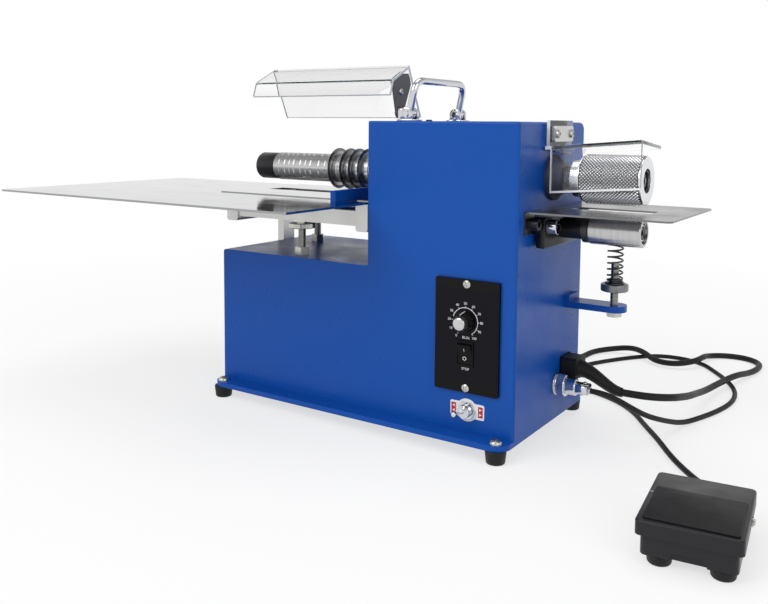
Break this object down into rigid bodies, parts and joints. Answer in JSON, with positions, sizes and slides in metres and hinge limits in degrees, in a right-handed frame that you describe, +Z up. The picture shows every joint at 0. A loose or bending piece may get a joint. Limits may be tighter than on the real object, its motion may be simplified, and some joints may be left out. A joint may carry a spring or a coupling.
{
  "type": "leather splitting machine",
  "caption": "Benchtop leather strip cutter: disc knives over a lift-and-lower table, sprung feed rollers on the same geared spindle, tilting clear guard, speed control and foot pedal.",
  "frame": {"origin": "centre of the base plate, on its underside", "axes": "+X along the spindle towards the feed roller, +Y to the back, +Z up"},
  "size_m": [0.7671, 0.5757, 0.348],
  "materials": {
    "blue_paint": "satin powder coat with a fine texture",
    "polished_steel": "stainless, polished almost to a mirror",
    "ground_steel": "ground steel with fine turning marks",
    "frame_metal": "milled, fine matt grain",
    "gear_steel": "oiled gear steel",
    "knurled_aluminium": "diamond knurl with a turned end face",
    "zinc_screws": "bright zinc plating",
    "chrome": "bright chrome plating",
    "clear_acrylic": "clear polished acrylic with greyish cut edges",
    "dark_plate": "black oxide",
    "black_panel": "fine matt black with white printing",
    "black_knob": "black skirt with a satin silver cap",
    "motor_paint": "dark grey satin paint",
    "black_rubber": "soft black, faint sheen",
    "pedal_plastic": "grey-black grained plastic"
  },
  "bodies": {
    "root": {"base_plate": "blue_paint", "rubber_feet": "black_rubber", "foot_screws": "zinc_screws", "case_shell": "blue_paint", "gear_plate": "frame_metal", "drive_motor": "motor_paint", "gearbox": "frame_metal", "bearing_housings": "frame_metal", "spindle_bearings": "ground_steel", "table_studs": "ground_steel", "guide_post": "frame_metal", "guard_hinge": "chrome", "handle_clevises": "chrome", "right_table": "polished_steel", "wall_screws": "zinc_screws", "right_guard": "clear_acrylic", "guard_clamp_bar": "frame_metal", "arm_pivot_bolt": "ground_steel", "spring_bracket": "blue_paint", "tension_rod": "ground_steel", "control_plate": "black_panel", "speed_controller": "black_panel", "toggle_switch": "chrome", "mains_inlet": "black_panel", "pedal_socket": "chrome", "pedal_base": "pedal_plastic", "mains_connector": "black_rubber", "mains_cord": "black_rubber", "mains_cord_coil": "black_rubber", "mains_plug": "black_rubber", "pedal_cord_connector": "chrome", "pedal_cord": "black_rubber"},
    "spindle": {"spindle_shaft": "ground_steel", "spindle_gear": "gear_steel", "arbor_spacers": "polished_steel", "slitting_blades": "ground_steel", "arbor_end_cap": "dark_plate", "knurled_roller": "knurled_aluminium"},
    "idler": {"idler_gear": "gear_steel"},
    "gear_output": {"output_gear": "gear_steel"},
    "table_carrier": {"carrier_frame": "frame_metal", "left_table": "polished_steel", "throat_plate": "polished_steel", "edge_fence": "blue_paint"},
    "anvil": {"anvil_roller": "ground_steel"},
    "front_nut": {"front_lift_nut": "zinc_screws"},
    "rear_nut": {"rear_lift_nut": "zinc_screws"},
    "left_guard": {"guard_hood": "clear_acrylic", "guard_arm": "dark_plate"},
    "handle": {"carry_handle": "chrome"},
    "knob": {"speed_knob": "black_knob"},
    "rocker": {"rocker_button": "black_panel"},
    "toggle": {"toggle_lever": "chrome"},
    "arm": {"feed_arm": "dark_plate"},
    "feed_roller": {"lower_roller": "ground_steel"},
    "spring_seat": {"tension_seat": "frame_metal", "tension_spring": "ground_steel"},
    "nut": {"tension_nut": "zinc_screws"},
    "treadle": {"pedal_treadle": "pedal_plastic", "pedal_mat": "black_rubber"}
  },
  "joints": [
    {"name": "spindle_spin", "type": "hinge", "parent": "root", "child": "spindle", "pos_m": [0, 0, 0.23], "axis": [1, 0, 0], "continuous": true},
    {"name": "idler_spin", "type": "hinge", "parent": "root", "child": "idler", "pos_m": [0.056, 0, 0.149], "axis": [1, 0, 0], "continuous": true},
    {"name": "output_spin", "type": "hinge", "parent": "root", "child": "gear_output", "pos_m": [0.056, 0, 0.068], "axis": [1, 0, 0], "continuous": true},
    {"name": "table_lift", "type": "slide", "parent": "root", "child": "table_carrier", "axis": [0, 0, 1], "range_m": [-0.006, 0.005]},
    {"name": "anvil_spin", "type": "hinge", "parent": "table_carrier", "child": "anvil", "pos_m": [-0.074, 0, 0.1932], "axis": [1, 0, 0], "continuous": true},
    {"name": "front_nut_turn", "type": "hinge", "parent": "table_carrier", "child": "front_nut", "pos_m": [-0.0785, -0.056, 0.175], "axis": [0, 0, 1], "range_deg": [-1730, 1442]},
    {"name": "rear_nut_turn", "type": "hinge", "parent": "table_carrier", "child": "rear_nut", "pos_m": [-0.129, 0.034, 0.175], "axis": [0, 0, 1], "range_deg": [-1730, 1442]},
    {"name": "guard_swing", "type": "hinge", "parent": "root", "child": "left_guard", "pos_m": [0.014, -0.018, 0.289], "axis": [-1, 0, 0], "range_deg": [0, 105]},
    {"name": "handle_fold", "type": "hinge", "parent": "root", "child": "handle", "pos_m": [0.044, 0, 0.287], "axis": [0, 1, 0], "range_deg": [0, 70]},
    {"name": "knob_turn", "type": "hinge", "parent": "root", "child": "knob", "pos_m": [0.1234, -0.08, 0.105], "axis": [0, -1, 0], "range_deg": [-135, 135]},
    {"name": "rocker_tilt", "type": "hinge", "parent": "root", "child": "rocker", "pos_m": [0.12355, -0.0745, 0.0763], "axis": [-1, 0, 0], "range_deg": [0, 11]},
    {"name": "toggle_throw", "type": "hinge", "parent": "root", "child": "toggle", "pos_m": [0.1249, -0.0785, 0.0249], "axis": [0, 0, 1], "range_deg": [0, 30]},
    {"name": "arm_swing", "type": "hinge", "parent": "root", "child": "arm", "pos_m": [0.177, -0.035, 0.189], "axis": [1, 0, 0], "range_deg": [-4, 11], "stiffness_Nm_per_rad": 13, "springref_deg": 0.69, "deforming": ["tension_spring"]},
    {"name": "lower_roller_spin", "type": "hinge", "parent": "arm", "child": "feed_roller", "pos_m": [0.23, 0, 0.185], "axis": [1, 0, 0], "continuous": true},
    {"name": "seat_slide", "type": "slide", "parent": "root", "child": "spring_seat", "axis": [0, 0, 1], "range_m": [-0.005, 0.005], "deforming": ["tension_spring"]},
    {"name": "tension_nut_turn", "type": "hinge", "parent": "spring_seat", "child": "nut", "pos_m": [0.2143, 0.0455, 0.1265], "axis": [0, 0, 1], "range_deg": [-1442, 1442]},
    {"name": "treadle_press", "type": "hinge", "parent": "root", "child": "treadle", "pos_m": [0.33808, -0.13234, 0.0105], "axis": [0.9947, 0.1028, 0], "range_deg": [0, 3], "stiffness_Nm_per_rad": 4, "springref_deg": -3.44}
  ],
  "couplings": [
    {"joint": "idler_spin", "follows": "spindle_spin", "ratio": -0.6875},
    {"joint": "output_spin", "follows": "spindle_spin", "ratio": 1},
    {"joint": "front_nut_turn", "follows": "table_lift", "rad_per_m": 5026.5},
    {"joint": "rear_nut_turn", "follows": "table_lift", "rad_per_m": 5026.5},
    {"joint": "tension_nut_turn", "follows": "seat_slide", "rad_per_m": 5026.5}
  ]
}
